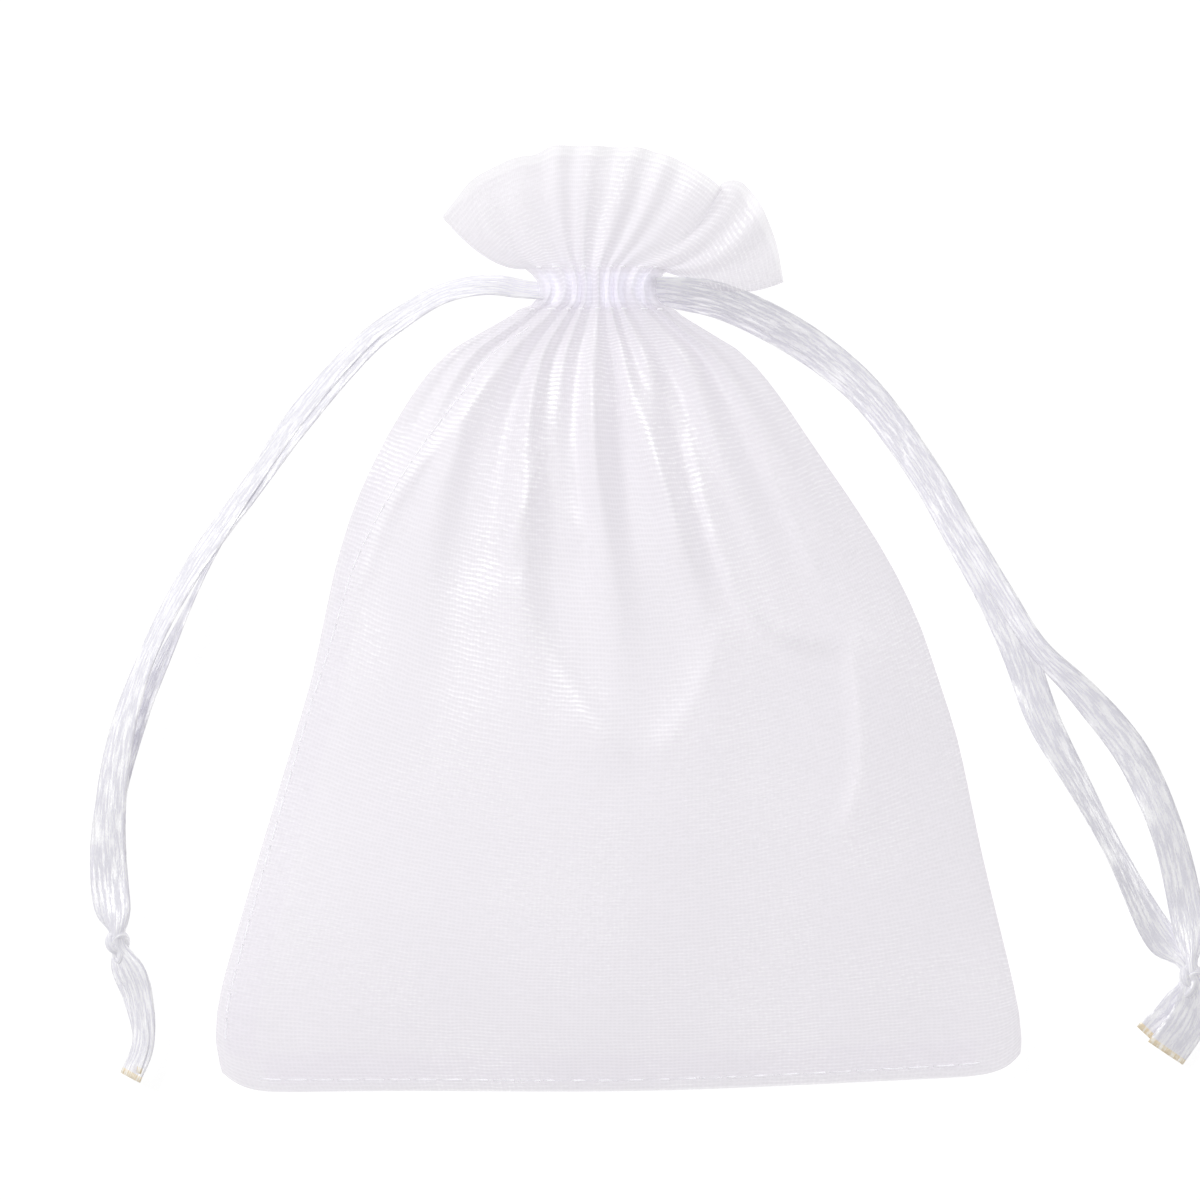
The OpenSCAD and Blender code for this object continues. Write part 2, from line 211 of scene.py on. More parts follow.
def organza(name, colour, shade, open_alpha, thread_alpha, painted_glow):
    """Sheer plain weave: shiny weft threads across, finer warp threads along, and air between them.
    The two alphas are how much light it stops between the threads and on them."""
    n = Nodes(name)
    uv = n.add("ShaderNodeUVMap", uv_map="weave").outputs["UV"]
    split = n.add("ShaderNodeSeparateXYZ", {0: uv})
    # Threads wander a little, so the weave isn't ruled
    wander = n.add("ShaderNodeTexNoise", {"Vector": uv, "Scale": 0.35, "Detail": 2.0}).outputs["Fac"]
    along = n.math("MULTIPLY_ADD", wander, 0.5, split.outputs["Y"])
    across = n.math("MULTIPLY_ADD", wander, -0.4, split.outputs["X"])
    turn = 2 * math.pi / THREAD_PITCH
    weft = n.scale_of(n.math("COSINE", n.math("MULTIPLY", along, turn)), -1, 1, 0, 1)
    warp = n.scale_of(n.math("COSINE", n.math("MULTIPLY", across, turn)), -1, 1, 0, 1)
    cover = n.math("MAXIMUM", weft, n.math("MULTIPLY", warp, 0.75))
    # Glints gather in broad patches, and each weft thread varies along its length
    patch = n.add("ShaderNodeTexNoise", {"Vector": uv, "Scale": 0.07, "Detail": 2.0}).outputs["Fac"]
    stretched = n.add("ShaderNodeMapping", {"Vector": uv, "Scale": (1.6, 2.6, 1.0)}).outputs[0]
    streak = n.add("ShaderNodeTexNoise", {"Vector": stretched, "Scale": 1.0, "Detail": 3.0}).outputs["Fac"]
    # Along a sharp fold the cloth lies double, so it is denser and its threads show more; their glints
    # there also carry a painted glow
    crease = n.add("ShaderNodeAttribute", attribute_name="crease").outputs["Fac"]
    alpha = n.math("MULTIPLY_ADD", crease, 0.15, n.scale_of(cover, 0.1, 1.0, open_alpha, thread_alpha))
    base = n.mix_colour(cover, shade, colour)
    height = n.math("ADD", weft, n.math("MULTIPLY", warp, 0.5))
    bump = n.add("ShaderNodeBump", {"Strength": 0.25, "Distance": BUMP_DEPTH, "Height": height}).outputs[0]
    tangent = n.add("ShaderNodeTangent", direction_type="UV_MAP", uv_map="weave").outputs[0]
    # The emission is a painted glow that brightens the cloth, not light that it gets from the lamps
    thread = n.add("ShaderNodeBsdfPrincipled", {
        "Base Color": base, "Roughness": 0.6, "Normal": bump, "Specular IOR Level": 0.3,
        "Sheen Weight": 0.25, "Sheen Roughness": 0.35, "Emission Color": base,
        "Emission Strength": painted_glow})
    glow = n.add("ShaderNodeBsdfTranslucent", {"Color": base})
    soft = n.add("ShaderNodeMixShader", {0: 0.4, 1: thread.outputs[0], 2: glow.outputs[0]})
    # Where this mask is high the threads get the glints' painted glow as well as their shine: along
    # creases and in broad patches
    dots = n.math("MULTIPLY", n.math("POWER", weft, 3.0), n.scale_of(warp, 0, 1, 0.45, 1))
    spots = n.math("MULTIPLY", dots, n.scale_of(streak, 0.42, 0.6, 0.04, 0.5))
    patches = n.math("MULTIPLY", spots, n.scale_of(patch, 0.44, 0.6, 0.2, 1.3))
    mask = n.math("MULTIPLY_ADD", n.math("MULTIPLY", crease, weft), 0.24, patches)
    lit = glints(n, mask, soft.outputs[0], bump, tangent, 0.42, 0.0)
    clear = n.add("ShaderNodeBsdfTransparent")
    both = n.add("ShaderNodeMixShader", {0: alpha, 1: clear.outputs[0], 2: lit})
    out = n.add("ShaderNodeOutputMaterial")
    n.tree.links.new(both.outputs[0], out.inputs["Surface"])
    return n.material


def satin(name, colour, shade, painted_glow, thin=1.0):
    """Satin ribbon: long floats along it give streaks, and its lengthwise sheen changes as it twists.
    Where the ribbon shows through cloth only in places, thin is how much of it is seen elsewhere."""
    n = Nodes(name)
    uv = n.add("ShaderNodeUVMap", uv_map="weave").outputs["UV"]
    long_streak = n.add("ShaderNodeMapping", {"Vector": uv, "Scale": (4.2, 0.34, 1.0)}).outputs[0]
    streak = n.add("ShaderNodeTexNoise", {"Vector": long_streak, "Scale": 1.0, "Detail": 4.0,
                                          "Roughness": 0.65}).outputs["Fac"]
    fine = n.add("ShaderNodeMapping", {"Vector": uv, "Scale": (9.0, 3.2, 1.0)}).outputs[0]
    cells = n.add("ShaderNodeTexVoronoi", {"Vector": fine, "Scale": 1.0}, feature="F1")
    picks = cells.outputs["Distance"]
    # The colour is painted sheen and shade: light streaks along the floats over a shaded violet ground,
    # with the weave's fine picks in them
    weave_and_painted_sheen = n.math("MULTIPLY_ADD", picks, 0.25, streak)
    base = n.mix_colour(n.scale_of(weave_and_painted_sheen, 0.58, 0.74, 0, 1), shade, colour)
    height = n.math("ADD", streak, n.math("MULTIPLY", picks, 0.35))
    bump = n.add("ShaderNodeBump", {"Strength": 0.6, "Distance": RIBBON_BUMP_DEPTH,
                                    "Height": height}).outputs[0]
    tangent = n.add("ShaderNodeTangent", direction_type="UV_MAP", uv_map="weave").outputs[0]
    # The emission is a painted glow that brightens the ribbon, not light that it gets from the lamps
    cloth = n.add("ShaderNodeBsdfPrincipled", {
        "Base Color": base, "Roughness": 0.5, "Normal": bump, "Specular IOR Level": 0.4,
        "Sheen Weight": 0.2, "Sheen Roughness": 0.3, "Emission Color": base,
        "Emission Strength": painted_glow})
    glow = n.add("ShaderNodeBsdfTranslucent", {"Color": base})
    soft = n.add("ShaderNodeMixShader", {0: 0.2, 1: cloth.outputs[0], 2: glow.outputs[0]})
    mask = n.scale_of(streak, 0.48, 0.62, 0.02, 0.5)
    lit = glints(n, mask, soft.outputs[0], bump, tangent, 0.36, 0.25)
    patch = n.add("ShaderNodeTexNoise", {"Vector": uv, "Scale": 0.16, "Detail": 1.0}).outputs["Fac"]
    seen = n.scale_of(patch, 0.44, 0.6, thin, 1)
    clear = n.add("ShaderNodeBsdfTransparent")
    both = n.add("ShaderNodeMixShader", {0: seen, 1: clear.outputs[0], 2: lit})
    out = n.add("ShaderNodeOutputMaterial")
    n.tree.links.new(both.outputs[0], out.inputs["Surface"])
    return n.material


def yarn(name, colour):
    """Sewing thread: fine twisted strands."""
    n = Nodes(name)
    place = n.add("ShaderNodeTexCoord").outputs["Object"]
    wave = n.add("ShaderNodeTexWave", {"Vector": place, "Scale": 3200.0, "Distortion": 1.5,
                                       "Detail": 2.0}, bands_direction="DIAGONAL").outputs["Fac"]
    base = n.mix_colour(wave, (0.9, 0.89, 0.93, 1), colour)
    bump = n.add("ShaderNodeBump", {"Strength": 0.6, "Distance": BUMP_DEPTH, "Height": wave}).outputs[0]
    # Its emission is a painted glow, so that the stitches don't look darker than the cloth
    shader = n.add("ShaderNodeBsdfPrincipled", {
        "Base Color": base, "Roughness": 0.5, "Normal": bump, "Sheen Weight": 0.3,
        "Emission Color": base, "Emission Strength": 0.25})
    out = n.add("ShaderNodeOutputMaterial")
    n.tree.links.new(shader.outputs[0], out.inputs["Surface"])
    return n.material


# The last number of each cloth and ribbon material is a painted glow that brightens it. The hem organza
# and the ribbon inside the casing are lighter copies with more painted glow, so that stacked sheer layers
# don't render darker.
ORGANZA = organza("organza", (0.91, 0.89, 0.925, 1), (0.895, 0.875, 0.912, 1), 0.62, 0.66, 0.055)
HEM = organza("hem_organza", (0.93, 0.91, 0.95, 1), (0.91, 0.89, 0.93, 1), 0.35, 0.5, 0.16)
SATIN = satin("satin_ribbon", (0.94, 0.935, 0.955, 1), (0.84, 0.832, 0.885, 1), 0.07)
SATIN_INSIDE = satin("satin_ribbon_in_casing", (0.93, 0.925, 0.965, 1), (0.895, 0.89, 0.95, 1), 0.36, 0.15)
SINGED = satin("singed_ribbon_edge", (0.96, 0.92, 0.84, 1), (0.86, 0.75, 0.56, 1), 0.1)
YARN = yarn("thread", (0.97, 0.97, 1.0, 1))


# ---------------------------------------------------------------- ribbons

# Routes of the four ribbon legs: out of the casing, along the surface, and through the knot to
# the cut end. They are the CAD routes.
LEFT_FRONT = [(-8.1, 28.7, 4.3), (-11.4, 29.1, 4.1), (-15.2, 28.4, 3), (-19, 26.3, 1.6), (-22.5, 23.5, 1),
              (-28, 17.2, 1), (-32.6, 11, 1), (-36.8, 5.2, 1), (-40.4, -1.4, 1), (-43, -8.5, 1),
              (-44.3, -16, 1), (-44.2, -22.5, 1), (-43.1, -28, 2), (-41.7, -32.5, 1.1),
              (-41.5, -36.5, 0.8), (-42.6, -39.4, 0.8)]
LEFT_BACK = [(-8.1, 28.7, 3.1), (-11.4, 29.1, 3.05), (-15.2, 28.4, 1.8), (-19, 26.3, 0.7),
             (-22.5, 23.5, 0.3), (-28, 17.2, 0.3), (-31.9, 11, 0.3), (-35.2, 4.8, 0.3),
             (-38.2, -1.4, 0.3), (-41.2, -7.8, 0.3),
             (-43.7, -15.4, 0.3), (-44.2, -22, 0.4), (-43.1, -28, 1.3), (-41.8, -32.3, 0.4),
             (-41.1, -36, 0.3), (-41.8, -39, 0.3)]
RIGHT_FRONT = [(4.5, 28.4, 4.3), (8.6, 27.7, 4.1), (13.2, 25.8, 3), (17.8, 23, 1.6), (22, 19.2, 1),
               (26.4, 13.1, 1), (29.6, 7.8, 1), (32.9, 2.4, 1), (36, -2.4, 1), (40.2, -6.6, 1),
               (44.4, -11.8, 1), (47.2, -18, 1), (48.9, -24.6, 1), (49.7, -31, 2), (49.2, -34.2, 1.1),
               (47.2, -37.2, 0.8)]
RIGHT_BACK = [(4.5, 28.4, 3.1), (8.6, 27.7, 3.05), (13.2, 25.8, 1.8), (17.8, 23, 0.7), (22, 19.2, 0.3),
              (26.4, 13.1, 0.3), (29.6, 7.8, 0.3), (32.8, 2.4, 0.3), (35.2, -2.8, 0.3), (37.3, -8.6, 0.3),
              (40.3, -14.2, 0.3), (43.4, -20, 0.3), (46.4, -25.8, 0.4), (49.7, -31, 1.3),
              (48.9, -34, 0.4), (46.6, -36.6, 0.3)]
# Inside the neck each leg goes on a little way before its run in the casing takes over
LEFT_INNER = (-6, 28.5)
RIGHT_INNER = (2.5, 28.5)
RIBBON_W = 3.0
RIBBON_T = 0.1
RINGS = 170
ACROSS = 10
SLIP = 0.3               # sideways from the shared route, so that two legs lie side by side
FLOOR_GAP = 0.03         # least height of a ribbon above the floor
KNOT_FLOOR_GAP = 0.05
KNOT_SIZE = (1.5, 2.6, 1.4)

# How each leg turns about its own length: part of the way along, then degrees from lying flat.
# At the knot it is bunched, so its width shrinks there too.
TURNS = {
    "left_front": [(0, 60), (0.1, 62), (0.2, 52), (0.32, 45), (0.45, 50), (0.58, 58), (0.68, 30),
                   (0.78, 12), (0.85, 20), (0.93, 35), (1, 30)],
    "left_back": [(0, 64), (0.1, 66), (0.2, 58), (0.32, 50), (0.45, 82), (0.52, 78), (0.6, 55),
                  (0.7, 34), (0.78, 16), (0.85, 20), (0.93, 42), (1, 50)],
    "right_front": [(0, 44), (0.08, 40), (0.16, 38), (0.25, 48), (0.38, 54), (0.5, 58), (0.57, 58),
                    (0.64, 26), (0.7, 10), (0.75, -16), (0.82, -8), (0.88, 10), (0.95, -12), (1, -16)],
    "right_back": [(0, 46), (0.08, 42), (0.16, 38), (0.25, 46), (0.38, 50), (0.46, 30), (0.54, 6),
                   (0.61, -4), (0.66, -34), (0.76, -56), (0.84, -34), (0.9, 10), (0.95, -8), (1, -12)],
}
KNOT_PARTS = {"left": 0.862, "right": 0.905}
KNOT_TURNS = {"left": 0.25, "right": -0.2}
FLARES = {"left": -0.25, "right": 0.3}     # how much wider each tail gets towards its cut end


def ribbon_strip(name, route, turns, knot_part, slip, flare):
    """A thin closed strip along a route. slip moves it sideways, so that two legs lie side by side."""
    line = through(route, RINGS)
    part = np.linspace(0, 1, RINGS)
    tangent = np.gradient(line, axis=0)
    tangent /= np.linalg.norm(tangent, axis=1)[:, None]
    level = np.stack([-tangent[:, 1], tangent[:, 0], np.zeros(RINGS)], 1)
    level /= np.linalg.norm(level, axis=1)[:, None]
    up = np.cross(tangent, level)
    keys = np.array(turns, float)
    roll = np.radians(np.interp(part, keys[:, 0], keys[:, 1]))
    roll = np.convolve(np.pad(roll, 6, mode="edge"), np.ones(13) / 13, mode="valid")
    # Each is 1 at its own place, the knot or the neck, and dies out in a short way
    bunch = np.exp(-((part - knot_part) / 0.018) ** 2)
    neck = np.exp(-(part / 0.03) ** 2)
    width = RIBBON_W * (1 - 0.66 * bunch) * (1 - 0.3 * neck)
    width = width * (1 + flare * smooth_step((part - knot_part) / (1 - knot_part)))
    side = level * np.cos(roll)[:, None] + up * np.sin(roll)[:, None]
    normal = np.cross(tangent, side)
    # A strip on its edge stands on the surface instead of sinking into it
    lift = np.abs(np.sin(roll)) * width / 2 * smooth_step((part - 0.1) / 0.15) * (1 - bunch)
    line = line + up * lift[:, None] + level * (slip * (1 - bunch))[:, None]
    t = np.linspace(-1, 1, ACROSS + 1)
    # The strip cups a little, more where it is bunched
    cup = 0.12 + 0.5 * bunch
    top = (line[:, None] + side[:, None] * (t[None, :, None] * width[:, None, None] / 2)
           + normal[:, None] * ((1 - t ** 2)[None, :, None] * cup[:, None, None] + RIBBON_T / 2))
    low = top - normal[:, None] * RIBBON_T
    ring = np.concatenate([top, low[:, ::-1]], axis=1)
    ring[:, :, 2] = np.maximum(ring[:, :, 2], FLOOR_GAP)
    cols = 2 * (ACROSS + 1)
    along = part * line_length(line)
    u = np.concatenate([t, t[::-1]]) * RIBBON_W / 2
    uv = np.stack([np.tile(u, RINGS), np.repeat(along, cols)], 1)
    faces = grid_faces(RINGS, cols, closed=True)
    last = (RINGS - 1) * cols
    for i in range(ACROSS):
        other = cols - 1 - i
        faces.append((i + 1, i, other, other - 1))
        faces.append((last + i, last + i + 1, last + other - 1, last + other))
    piece = new_mesh(name, ring.reshape(-1, 3), faces, SATIN, uv)
    # The heat-cut end is a little brown
    piece.data.materials.append(SINGED)
    for face in piece.data.polygons:
        if min(face.vertices) >= (RINGS - 2) * cols:
            face.material_index = 1
    return piece, line


def knot_mesh(name, place, turn):
    """An overhand knot pulled tight: a fat flat tube along a short trefoil."""
    count = 120
    t = np.linspace(0, 2 * math.pi, count, endpoint=False)
    curve = np.stack([np.sin(t) + 2 * np.sin(2 * t), np.cos(t) - 2 * np.cos(2 * t),
                      -1.2 * np.sin(3 * t)], 1)
    curve *= np.array(KNOT_SIZE) / 6.0
    c, s = math.cos(turn), math.sin(turn)
    curve = curve @ np.array([[c, s, 0], [-s, c, 0], [0, 0, 1]])
    tangent = np.roll(curve, -1, 0) - np.roll(curve, 1, 0)
    tangent /= np.linalg.norm(tangent, axis=1)[:, None]
    out = curve - curve.mean(0)
    out -= tangent * (out * tangent).sum(1)[:, None]
    out /= np.linalg.norm(out, axis=1)[:, None]
    side = np.cross(tangent, out)
    sides = 14
    tube_thick = 0.36
    tube_wide = 0.58
    a = np.linspace(0, 2 * math.pi, sides, endpoint=False)
    ring = (curve[:, None] + out[:, None] * (np.cos(a) * tube_thick)[None, :, None]
            + side[:, None] * (np.sin(a) * tube_wide)[None, :, None])
    ring = ring.reshape(-1, 3) + np.array(place)
    ring[:, 2] = np.maximum(ring[:, 2], KNOT_FLOOR_GAP)
    # The row after the last is the first one again
    faces = [tuple(k % len(ring) for k in face) for face in grid_faces(count + 1, sides, closed=True)]
    tied_l = 14
    along = np.linspace(0, tied_l, count)
    uv = np.stack([np.tile(np.sin(a) * 1.2, count), np.repeat(along, sides)], 1)
    return new_mesh(name, ring, faces, SATIN, uv)


def add_ribbons():
    legs = {"left_front": LEFT_FRONT, "left_back": LEFT_BACK,
            "right_front": RIGHT_FRONT, "right_back": RIGHT_BACK}
    knots = {}
    for side, turn in KNOT_TURNS.items():
        low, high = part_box(side + "_knot")
        middle = (low + high) / 2 / MM
        knots[side] = knot_mesh(side + "_tied_knot", (middle.x, middle.y, middle.z), turn)
        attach(knots[side], side + "_free_end")
        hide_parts(side + "_knot")
    for key, cad_route in legs.items():
        side, layer = key.split("_")
        inner = LEFT_INNER if side == "left" else RIGHT_INNER
        route = [inner + (cad_route[0][2],)] + cad_route
        # To the left of the way along: outwards on the right side, and inwards on the left
        slip = SLIP if layer == "front" else -SLIP
        piece, line = ribbon_strip(key.replace("_", "_ribbon_"), route, TURNS[key], KNOT_PARTS[side],
                                   slip, FLARES[side])
        way = np.array(route[6]) - np.array(route[4])
        way = way / np.linalg.norm(way)
        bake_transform(piece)
        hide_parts(f"{side}_ribbon_{layer}_leg", f"{side}_ribbon_{layer}_end")


add_ribbons()


# ---------------------------------------------------------------- cloth

CLOTH_W = 70.0           # width of the cut cloth of one side
BODY_L = 72.4            # along the cloth, from the bottom edge to the casing's lower stitching
CASING_L = 3.6
RUFFLE_L = 11.0
COLS = 181
BODY_ROWS = 100
CASING_ROWS = 9
RUFFLE_ROWS = 32
PLEATS = 10

run_low, run_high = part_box("left_ribbon_front_run")
CASING_Y = (run_low.y + run_high.y) / 2 / MM
NECK_X = (run_low.x + run_high.x) / 2 / MM
NECK_W = 10.6            # the tight gather, a little inside the CAD neck
CASING_LOW = CASING_Y - CASING_L / 2
CASING_HIGH = CASING_Y + CASING_L / 2

# Height of the edge where front and back meet, by y. Above PARTING_Y the front's edge stays
# level and the back's edge falls away from it, to leave a slit for the ribbons.
RIM_Y = (-41, -33, -21, 0, 12, 45)
RIM_Z = (1.5, 2.6, 3.2, 4.1, 4.7, 4.7)
PARTING_Y = 12.0
SLIT_SLOPE = 0.067
SAG = 6.5                # of the threads across the cloth, half way up
CORNER_RISE = 1.9        # of the bottom edge at each rounded corner
CORNER_W = 1.3

# The gathered neck: how far its middle stands above its edge, and how high its pleats are there
# and at the ruffle's edge
FRONT_HUMP = 1.6
BACK_HUMP = -1.0
FRONT_PLEAT = 0.32
BACK_PLEAT = 0.9
FRONT_RUFFLE_PLEAT = 0.3
BACK_RUFFLE_PLEAT = 0.5
PLAIN_EDGE = 0.17        # share of the width near each side edge over which the pleats die out
GATHER_L = 15.0          # over which the belly narrows into the neck
PLEAT_FADE = 9.0         # over which the pleats die out below the neck

# Wide folds between the pleats and the open belly
FRONT_WAVES = 6.1
FRONT_WAVE_H = 3.4
BACK_WAVES = 5.2
BACK_WAVE_H = 1.7

# Inside the casing, from the outer cloth inwards
RUN_DEPTHS = {"left": 0.28, "right": 0.5}
FACING_DEPTH = 0.75

# Stitches: the distance from one to the next, the length of each, and their heights
STITCH_PITCH = 2.2
STITCH_L = 1.8
STITCH_LIFT = 0.02
CREST_LIFT = 0.04
SEAM_THREAD_R = 0.055
CASING_THREAD_R = 0.06
ALLOWANCE_LIFT = 0.25    # of the seam allowances above the back cloth
ALLOWANCE_LOW_Y = -37    # where the side allowance starts and ends
ALLOWANCE_HIGH_Y = 14

# How far the side seam's stitches lie from the left edge, by y
SEAM_Y = (-36, -28, -7, 5, 12, 20, 26)
SEAM_INSET = (0.9, 0.9, 0.6, 1.6, 3, 4.4, 3.4)
SEAM_TOP_Y = 25.5

# Folds of the front: points along it, half width of its sharp side, height, and which side of
# the way along is sharp (1 is the left)
FOLDS = (
    ([(-5, 26), (-6.3, 15), (-8.2, 9), (-10.2, 4)], 0.9, 1.0, -1),
    ([(-2.5, 25), (-4.2, 13), (-2.5, 4)], 0.8, 0.8, 1),
    ([(-0.7, 26), (2.7, 15), (7, 2)], 0.9, 1.1, 1),
    ([(0.1, 26), (5.3, 17.5), (7.9, 8), (10.5, 2), (13.5, -1), (18, -2), (23, -1)], 0.6, 0.8, -1),
    ([(-10.2, 6), (-4, -6), (2.2, -13)], 1.4, 0.7, 1),
    ([(10, 1), (6.5, -7), (1.7, -13)], 1.6, 0.6, -1),
    ([(20, 0), (20.8, -12), (18.5, -20)], 0.9, 0.6, -1),
    ([(-6.3, 26), (-18.2, 12), (-22, 4), (-25, -5)], 0.8, 0.6, 1),
    ([(2, 26), (10, 18.5), (15.5, 8), (19, 0)], 0.9, 0.6, -1),
)

# Edge of the ruffle: part across the cloth, x, y, and height above or below its pleats. Near
# the right end one lobe laps over the next.
RUFFLE_EDGE = (
    (0, -15.3, 34.6, 0), (0.1, -12.5, 38.1, 0), (0.2, -8.9, 39.8, 0), (0.27, -6.8, 40, 0),
    (0.3, -6, 40.8, 0), (0.42, -2, 40.7, 0), (0.54, 1.9, 40.6, 0), (0.62, 4.8, 39.7, 0),
    (0.7, 7.8, 38, 0.3), (0.735, 9.4, 36.6, 0.3), (0.765, 8, 37.4, -1), (0.8, 10.2, 38.2, -0.6),
    (0.86, 12, 36.2, 0),
    (0.93, 13.5, 32.8, 0), (1, 14.2, 28.9, 0))


def node_points(*names):
    points = [np.array([v.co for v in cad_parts[name].data.vertices]) / MM for name in names]
    return np.vstack(points)


def cad_outline():
    """Height y, left x, right x and crown z of the pouch's front, from the CAD rows."""
    points = node_points("front_panel", "front_neck")
    table = []
    for y in np.unique(np.round(points[:, 1], 2)):
        row = points[np.abs(points[:, 1] - y) < 0.02]
        table.append((y, row[:, 0].min(), row[:, 0].max(), row[:, 2].max()))
    return np.array(table).T


OUT_Y, OUT_LEFT, OUT_RIGHT, OUT_CROWN = cad_outline()
BOTTOM_Y = OUT_Y[0]
part_across = np.linspace(0, 1, COLS)
part_up = np.linspace(0, 1, BODY_ROWS)
along_cloth = np.concatenate([
    part_up * BODY_L,
    BODY_L + np.linspace(0, 1, CASING_ROWS)[1:] * CASING_L,
    BODY_L + CASING_L + np.linspace(0, 1, RUFFLE_ROWS)[1:] * RUFFLE_L])
ROWS = len(along_cloth)
LOW_ROW = BODY_ROWS - 1
HIGH_ROW = LOW_ROW + CASING_ROWS - 1


def pleat_phase(seed):
    """Phase of the pleats across the cloth. They aren't all as wide as each other."""
    u = part_across
    uneven = (0.02 * np.sin(2 * math.pi * (1.3 * u + seed))
              + 0.012 * np.sin(2 * math.pi * (3.7 * u + 2.1 * seed)))
    return 2 * math.pi * PLEATS * (u + uneven)


def inside_edges(u, share):
    """0 at both side edges, and 1 further in than that share of the width."""
    return smooth_step(u / share) * smooth_step((1 - u) / share)


def fold_shape(x, y, points, half_width, height, sharp_side):
    """A fold along a curve: steep on its sharp side, and fading at both ends. Gives its height, and
    how sharply the cloth is folded."""
    line = through(points, 60)
    way = np.gradient(line, axis=0)
    way /= np.linalg.norm(way, axis=1)[:, None]
    gap_x = x[..., None] - line[:, 0]
    gap_y = y[..., None] - line[:, 1]
    distance = np.hypot(gap_x, gap_y)
    nearest = np.argmin(distance, axis=-1)
    part = nearest / (len(line) - 1)
    away = np.take_along_axis(distance, nearest[..., None], -1)[..., 0]
    side = (way[nearest, 0] * np.take_along_axis(gap_y, nearest[..., None], -1)[..., 0]
            - way[nearest, 1] * np.take_along_axis(gap_x, nearest[..., None], -1)[..., 0])
    gentle_half_width = 3.2 * half_width
    reach = np.where(side * sharp_side > 0, half_width, gentle_half_width)
    fade = smooth_step(part / 0.15) * smooth_step((1 - part) / 0.25)
    crease = fade * (0.8 * np.exp(-(away / 0.4) ** 2) + 0.2 * np.exp(-(away / 1.4) ** 2))
    return height * fade * np.exp(-(away / reach) ** 2), crease


def body_grid():
    """x and y of the cloth from the bottom edge up to the casing. Threads across it sag in the
    middle, and the bottom corners are rounded."""
    y = np.linspace(BOTTOM_Y, CASING_LOW, 200)
    left = resample(np.stack([np.interp(y, OUT_Y, OUT_LEFT), y], 1), part_up)
    right = resample(np.stack([np.interp(y, OUT_Y, OUT_RIGHT), y], 1), part_up)
    u = part_across[None, :]
    v = part_up[:, None]
    corner = CORNER_RISE * (np.exp(-u * CLOTH_W / CORNER_W) + np.exp(-(1 - u) * CLOTH_W / CORNER_W))
    bottom = 0.1 + u + 0.6 * u ** 4 + 0.15 * np.sin(9 * u) + corner
    sag = SAG * np.sin(math.pi * u) * np.sin(math.pi * v) ** 1.3
    grid_y = mix(left[:, 1:], right[:, 1:], u) + bottom * (1 - smooth_step(v / 0.15)) - sag
    neck_half = casing_width(CASING_LOW) / 2
    grid_x = mix(np.minimum(np.interp(grid_y, OUT_Y, OUT_LEFT), NECK_X - neck_half),
                 np.maximum(np.interp(grid_y, OUT_Y, OUT_RIGHT), NECK_X + neck_half), u)
    return grid_x, grid_y


def casing_width(y):
    """The gather is tightest on the ribbons and widens a little above and below them."""
    return NECK_W - 0.6 + 0.75 * (y - CASING_Y) ** 2


def rim_z(y, front):
    level = np.interp(y, RIM_Y, RIM_Z)
    return level if front else level - SLIT_SLOPE * np.maximum(y - PARTING_Y, 0)


def hump(front):
    """Rise of the gathered neck across its width, above or below its edge."""
    return (FRONT_HUMP if front else BACK_HUMP) * np.sin(math.pi * part_across) ** 0.6


def neck_z(phase, front):
    """Height of the pleats in the gathered neck, above or below its edge."""
    pleat = FRONT_PLEAT if front else BACK_PLEAT
    return hump(front) + pleat * np.cos(phase) * inside_edges(part_across, PLAIN_EDGE)


def body_z(x, y, phase, front, seed):
    """Height of the belly and of the folds that run down it from the neck."""
    u = part_across[None, :]
    rim = rim_z(y, front)
    below = np.maximum(CASING_LOW - y, 0)
    gather = smooth_step(1 - below / GATHER_L)
    inner = inside_edges(u, 0.12)
    sway = 0.03 * np.sin(5 * u + 9 * seed)
    pleat_fade = np.exp(-(below / PLEAT_FADE) ** 2) * np.cos(phase)[None, :]
    if front:
        crown = np.interp(y, OUT_Y, OUT_CROWN) - 0.7
        puff = (crown - rim) * np.sin(math.pi * u) ** 0.8
        z = rim + puff * (1 - gather) + hump(front)[None, :] * gather
        middle = 0.25 + 0.75 * np.exp(-((u - 0.44) / 0.24) ** 2)
        crests = 0.5 + 0.5 * np.cos(2 * math.pi * (FRONT_WAVES * (u + sway) + 0.12))
        wide = FRONT_WAVE_H * middle * np.exp(-((below - 9) / 15) ** 2) * (crests ** 2 - 0.4)
        folds = wide * (1 - gather ** 2) + mix(1.1, FRONT_PLEAT, gather ** 4) * pleat_fade
        for fold in FOLDS:
            folds = folds + fold_shape(x, y, *fold)[0] * (1 - gather ** 2)
        slack = 0.35 * np.sin(0.21 * x + 0.13 * y) * np.sin(0.17 * y - 0.08 * x + 1)
        slack = slack * smooth_step(below / 30)
        z = z + (folds + slack) * inner * smooth_step((y - BOTTOM_Y) / 6)
        return np.maximum(z, rim)
    bed = 0.15 + 0.25 * (1 + np.sin(0.3 * x + 0.4) * np.sin(0.19 * y))
    drop = smooth_step((y - BOTTOM_Y) / 9) * np.clip(1.25 * (1 - np.abs(2 * u - 1) ** 3), 0, 1)
    z = mix(mix(rim, bed, drop), rim + hump(front)[None, :], gather)
    waves = 1 + np.cos(2 * math.pi * (BACK_WAVES * (u + sway) + 0.4))
    wide = BACK_WAVE_H * np.exp(-((below - 10) / 17) ** 2) * waves
    folds = wide * (1 - gather ** 2) + BACK_PLEAT * pleat_fade
    return np.clip(z + folds * inner, 0.12, rim + 0.01)


